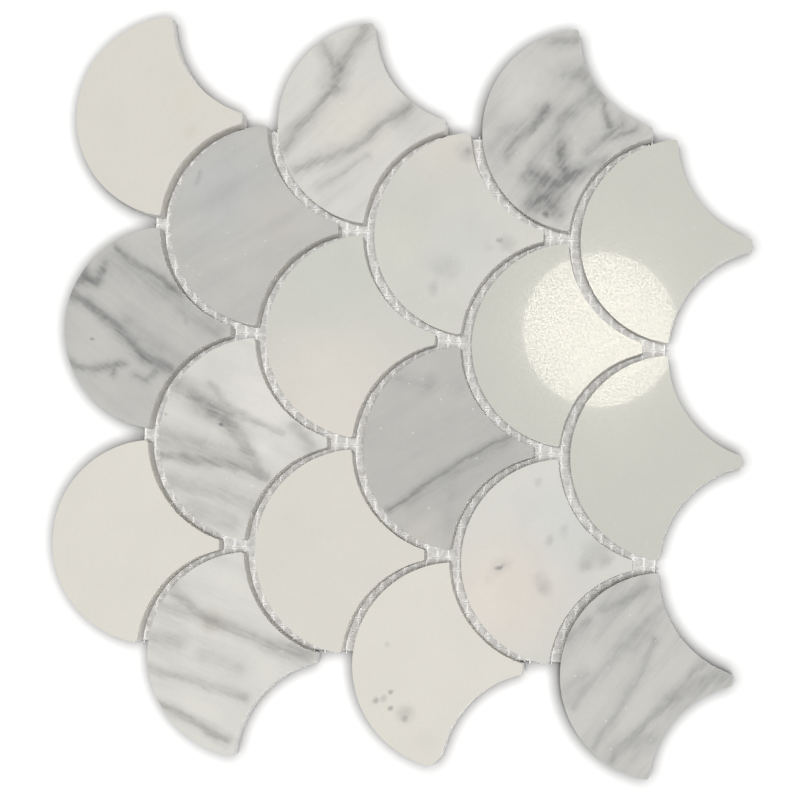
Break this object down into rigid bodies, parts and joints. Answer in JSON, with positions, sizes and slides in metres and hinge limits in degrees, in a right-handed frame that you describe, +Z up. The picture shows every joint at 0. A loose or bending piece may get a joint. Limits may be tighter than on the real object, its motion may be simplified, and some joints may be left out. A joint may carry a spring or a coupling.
{
  "type": "marble mosaic tile sheet",
  "caption": "Sheet of polished marble fan tiles, nested like fish scales with open joints, glued to a square glass-fibre backing net for bedding in tile adhesive.",
  "frame": {"origin": "under the middle of the sheet's outline, level with the net's underside", "axes": "+Z up with the polished faces on top, +X from the round heads to the tails, +Y along the columns towards row 1"},
  "size_m": [0.2528, 0.2728, 0.0125],
  "materials": {
    "marble_cream": "polished warm cream marble with sawn edges",
    "marble_white": "polished off-white marble with faint grey clouds and sawn edges",
    "marble_grey": "polished pale grey marble with darker veins and sawn edges",
    "net_glass_fibre": "white resin-coated glass-fibre thread"
  },
  "bodies": {
    "root": {"fan_a1": "marble_cream", "fan_a2": "marble_grey", "fan_a3": "marble_cream", "fan_b1": "marble_grey", "fan_b2": "marble_white", "fan_b3": "marble_grey", "fan_c1": "marble_white", "fan_c2": "marble_white", "fan_c3": "marble_cream", "fan_d1": "marble_white", "fan_d2": "marble_grey", "fan_d3": "marble_cream", "fan_e1": "marble_grey", "fan_e2": "marble_white", "fan_e3": "marble_white", "fan_f1": "marble_white", "fan_f2": "marble_white", "fan_f3": "marble_grey", "net_weft": "net_glass_fibre", "net_warp": "net_glass_fibre"}
  },
  "joints": []
}
